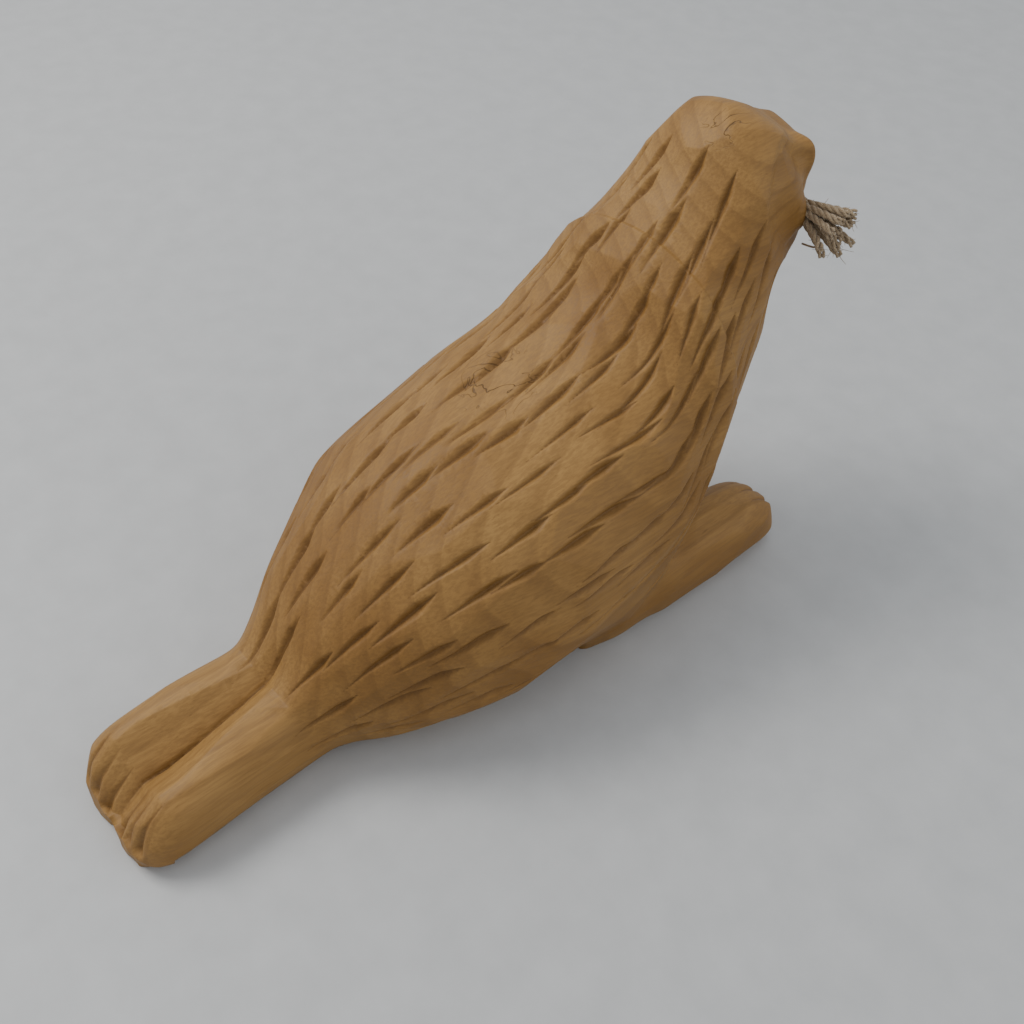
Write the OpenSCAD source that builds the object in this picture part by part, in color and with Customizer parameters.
// Seal-shaped vessel flute: a hollowed wooden carving closed by a glued belly board.
// The animal looks toward -Y, +Z is up and its flat belly rests on z = 0.
// Its tail is the mouthpiece. Window and finger holes are in the belly board.

/* [Carving] */
// Length from the tail tips to the nose
carving_len = 212; // [200:1:225]
// Points round each cross-section of the trunk
trunk_points = 40; // [24:4:48]
// Points round each cross-section of a flipper
flipper_points = 20; // [16:4:28]
// How far the rounded muzzle stands in front of its last station
muzzle_round = 8; // [5:1:10]

/* [Sound chamber] */
// Radius of the rounded chamber roof
chamber_r = 20; // [16:1:21]
// Width of the chamber's opening in the belly
chamber_w = 36; // [30:1:38]
// Width of the ledge that the belly board is glued to
ledge_w = 4; // [3:0.5:5]

/* [Belly board] */
// Thickness of the belly board
board_t = 4; // [3:0.5:5]
// Diameters of the four finger holes, left front to right back
finger_holes = [8, 7, 9, 6.5]; // [5:0.5:10]
// Distance of the finger holes from the centre line
finger_x = 10; // [8:0.5:11]
// Length of the sound window
window_len = 8; // [6:0.5:9]
// Height of the labium edge above the outer face
labium_z = 3.2; // [2.6:0.1:3.4]
// Length of the labium ramp
labium_len = 10; // [8:0.5:12]

/* [Windway] */
// Width of the windway, the window and the labium
windway_w = 10; // [8:0.5:12]
// Height of the windway
windway_h = 1.6; // [1.2:0.1:2]
// Width of the fipple block
block_w = 14; // [13:0.5:16]
// Height of the fipple block
block_h = 8; // [6:0.5:9]
// Length of the fipple block
block_len = 22; // [16:1:26]

/* [Face] */
// Diameter of the eye beads
eye_d = 7; // [6:0.5:8]
// Diameter of the bores that hold the whisker twine
whisker_bore_d = 5.5; // [4.5:0.5:6.5]
// Depth of the whisker bores
whisker_bore_depth = 8; // [6:1:9]
// Diameter of one yarn of the twine
yarn_d = 1.8; // [1.4:0.1:2.2]
// Free length of the yarns
yarn_len = 15; // [12:1:18]
// Number of yarns round the middle one
yarn_count = 7; // [5:1:8]
// Angle at which the outer yarns fan out
yarn_fan = 32; // [20:1:40]

/* [Hidden] */
$fn = 64;

// Everything that is placed along the carving grows with its length.
k = carving_len / 212;

// Trunk stations, tail to nose: [top y, top z, bottom y, bottom z, half width].
// A bottom below zero is sawn off flat at the belly.
tail_core = k * [90, 15, 90, -1, 9];
tail_root = k * [61, 27, 51, -2, 18];
rump      = k * [44, 44, 40, -4, 27];
loin      = k * [19, 62, 19, -5, 38];
back      = k * [-13, 73, -8, -5, 42];
shoulder  = k * [-38, 83, -35, -5, 40];
neck_base = k * [-52, 97, -60, 25, 34];
nape      = k * [-63, 107, -78, 52, 27];
jaw       = k * [-74, 121, -88, 75, 22];
brow      = k * [-84, 124, -97, 83, 20];
muzzle    = k * [-95, 117, -101, 91, 13];
TRUNK = [tail_core, tail_root, rump, loin, back, shoulder, neck_base, nape, jaw, brow, muzzle];
trunk_expo = 2.25;
trunk_steps = 5;

// Flipper stations, back to front: [y, top z, half width]. Their soles are sawn flat too.
HIND = k * [[106, 7, 5.5], [103, 13, 9.5], [96, 19, 11.5], [77, 22, 10.5], [53, 23, 9.5]];
FRONT = k * [[-16, 8, 4], [-20, 15, 7], [-28, 22, 10], [-53, 21, 10.5], [-78, 19, 10],
             [-87, 14, 8], [-90, 8, 4]];
sole = -1;
hind_x = 7 * k;
front_x = 27 * k;
flipper_expo = 2.6;
flipper_steps = 4;

// Chamber: a straight trough under a roof that rises toward the shoulders.
chamber_front = -30 * k;
chamber_back = 38 * k;
roof_back = k * [0, 20, 26];
roof_front = k * [0, -30, 41];
trough_top = 30 * k;

// The board covers the trough with a ledge all round and a strip under the tail.
board_w = chamber_w + 2 * ledge_w;
tail_strip_w = windway_w + 6;
board_end = 92 * k;
windway_mouth = 98 * k;
window_back = 56 * k;
window_front = window_back - window_len;
finger_front = -14 * k;
finger_back = 12 * k;

// Eyes sit on the rounded front of the muzzle, whiskers on its sides.
muzzle_end = rounding(muzzle, muzzle_round);
eye_row = (muzzle_end[1] + muzzle_end[2]) / 2;
eye_lift = 22;
eye_sink = 2.2;
whisker_row = (brow + muzzle) / 2;
whisker_drop = -16;
cut = 0.01;

// A point of a superellipse ring: angle 0 is the left side, 90 the top.
function rounded(a, e) = sign(a) * pow(abs(a), 2 / e);
function ring_point(row, a, e, cx = 0) =
    let (c = rounded(cos(a), e), s = rounded(sin(a), e))
    [cx + row[4] * c, (row[0] + row[2]) / 2 + (row[0] - row[2]) / 2 * s,
     (row[1] + row[3]) / 2 + (row[1] - row[3]) / 2 * s];

// Smooth rows through the stations (Catmull-Rom).
function station(rows, i) = i < 0 ? 2 * rows[0] - rows[1]
    : i >= len(rows) ? 2 * rows[len(rows) - 1] - rows[len(rows) - 2] : rows[i];
function between(a, b, c, d, u) = 0.5 * (2 * b + (c - a) * u
    + (2 * a - 5 * b + 4 * c - d) * pow(u, 2) + (3 * b - a - 3 * c + d) * pow(u, 3));
function smooth(rows, steps) = [
    for (i = [0:len(rows) - 2], j = [0:steps - 1])
        between(station(rows, i - 1), rows[i], rows[i + 1], station(rows, i + 2), j / steps),
    rows[len(rows) - 1]];

// Shrinking rows that round off the end of a loft, reaching out along its axis.
function rounding(row, reach) =
    let (dy = row[0] - row[2], dz = row[1] - row[3], len = norm([dy, dz]))
    [for (a = [20, 40, 60, 78, 86])
        let (oy = -dz / len * reach * sin(a), oz = dy / len * reach * sin(a),
             my = (row[0] + row[2]) / 2 + oy, mz = (row[1] + row[3]) / 2 + oz)
        [my + dy / 2 * cos(a), mz + dz / 2 * cos(a),
         my - dy / 2 * cos(a), mz - dz / 2 * cos(a), row[4] * cos(a)]];

// Closed skin over a list of rows that runs from back to front.
module loft(rows, n, e, cx = 0) {
    last = (len(rows) - 1) * n;
    polyhedron(
        points = [for (r = rows, i = [0:n - 1]) ring_point(r, 360 * i / n, e, cx)],
        faces = concat(
            [[for (i = [0:n - 1]) i]],
            [[for (i = [n - 1:-1:0]) last + i]],
            [for (r = [0:len(rows) - 2], i = [0:n - 1], t = [0, 1])
                let (a = r * n + i, b = r * n + (i + 1) % n)
                t == 0 ? [a, b + n, b] : [a, a + n, b + n]]));
}

module flipper(stations, cx) {
    rows = [for (s = smooth(stations, flipper_steps)) [s[0], s[1], s[0], sole, s[2]]];
    loft(rows, flipper_points, flipper_expo, cx);
}

// The outside of the carving, sawn flat underneath.
module carving() {
    resize([0, carving_len, 0])
    difference() {
        union() {
            loft(concat(smooth(TRUNK, trunk_steps), rounding(muzzle, muzzle_round)),
                 trunk_points, trunk_expo);
            for (side = [-1, 1]) {
                flipper(HIND, side * hind_x);
                flipper(FRONT, side * front_x);
            }
        }
        translate([-carving_len, -carving_len, -carving_len])
            cube([2 * carving_len, 2 * carving_len, carving_len]);
    }
}

// Outline of a slot with round ends along Y.
module slot(width, front, back) {
    for (y = [front + width / 2, back - width / 2])
        translate([0, y]) circle(d = width);
    translate([-width / 2, front + width / 2]) square([width, back - front - width]);
}

// A round bar with ball ends, from the first ball's centre up along Z.
module capsule(r, len) {
    rotate_extrude() intersection() {
        slot(2 * r, -r, len + r);
        translate([0, -r]) square([r, len + 2 * r]);
    }
}

// A bar along Y, centred on x = 0.
module bar(width, front, back, bottom, height) {
    translate([-width / 2, front, bottom]) cube([width, back - front, height]);
}

module chamber() {
    rise = roof_front - roof_back;
    translate([0, 0, board_t - cut]) linear_extrude(trough_top)
        slot(chamber_w, chamber_front, chamber_back);
    translate(roof_back) rotate([atan2(-rise[1], rise[2]), 0, 0])
        capsule(chamber_r, norm(rise));
    bar(block_w, chamber_back - chamber_w / 2, window_back, board_t - cut, block_h + cut);
}

module board_outline(height) {
    linear_extrude(height) slot(board_w, chamber_front - ledge_w, chamber_back + ledge_w);
    bar(tail_strip_w, chamber_back, board_end, 0, height);
}

// Places a child at an eye or a whisker bore; side is 1 on the left and -1 on the right.
module at_eye(side) {
    p = ring_point(eye_row, eye_lift, trunk_expo);
    translate([side * p[0], p[1] + eye_sink, p[2]]) children();
}

module at_whisker(side) {
    p = ring_point(whisker_row, whisker_drop, trunk_expo);
    translate([side * p[0], p[1], p[2]]) rotate([0, side * 90, 0]) children();
}

module carved_body() {
    color("burlywood")
    difference() {
        carving();
        chamber();
        translate([0, 0, -cut]) board_outline(board_t + cut);
        bar(block_w, window_back, window_back + block_len, board_t - cut, block_h + cut);
        bar(windway_w, window_back + block_len, windway_mouth, board_t - cut, windway_h + cut);
        bar(windway_w, board_end - cut, windway_mouth, -cut, board_t + windway_h);
        for (side = [-1, 1]) {
            at_eye(side) sphere(d = eye_d);
            at_whisker(side) translate([0, 0, -whisker_bore_depth])
                cylinder(d = whisker_bore_d, h = whisker_bore_depth + yarn_len);
        }
    }
}

// Labium ramp: a wedge taken from the outer face up to the edge of the window.
module labium_wedge() {
    translate([-windway_w / 2, 0, 0]) rotate([90, 0, 90]) linear_extrude(windway_w)
        polygon([[window_front + cut, -cut], [window_front + cut, labium_z],
                 [window_front - labium_len, -cut]]);
}

module belly_board() {
    color("tan")
    difference() {
        board_outline(board_t);
        bar(windway_w, window_front, window_back, -cut, board_t + 2 * cut);
        labium_wedge();
        for (i = [0:3])
            translate([(i % 2 == 0 ? 1 : -1) * finger_x, i < 2 ? finger_front : finger_back, -cut])
                cylinder(d = finger_holes[i], h = board_t + 2 * cut);
    }
}

module fipple_block() {
    color("peru")
    difference() {
        bar(block_w, window_back, window_back + block_len, board_t, block_h);
        bar(windway_w, window_back - cut, window_back + block_len + cut,
            board_t - cut, windway_h + cut);
    }
}

module eye_bead(side) {
    color("black") at_eye(side) sphere(d = eye_d);
}

module eye_left() { eye_bead(1); }
module eye_right() { eye_bead(-1); }

// Twine glued into its bore, with the free yarns fanned out.
module whisker_tuft(side) {
    color("wheat")
    at_whisker(side) {
        translate([0, 0, -whisker_bore_depth])
            cylinder(d = whisker_bore_d, h = whisker_bore_depth);
        yarn();
        for (i = [0:yarn_count - 1])
            rotate([0, 0, 360 * i / yarn_count])
                translate([(whisker_bore_d - yarn_d) / 2, 0, 0])
                    rotate([0, yarn_fan, 0]) yarn();
    }
}

module yarn() {
    translate([0, 0, -yarn_d / 2]) cylinder(d = yarn_d, h = yarn_len + yarn_d / 2, $fn = 24);
}

module whisker_tuft_left() { whisker_tuft(1); }
module whisker_tuft_right() { whisker_tuft(-1); }

carved_body();
belly_board();
fipple_block();
eye_left();
eye_right();
whisker_tuft_left();
whisker_tuft_right();
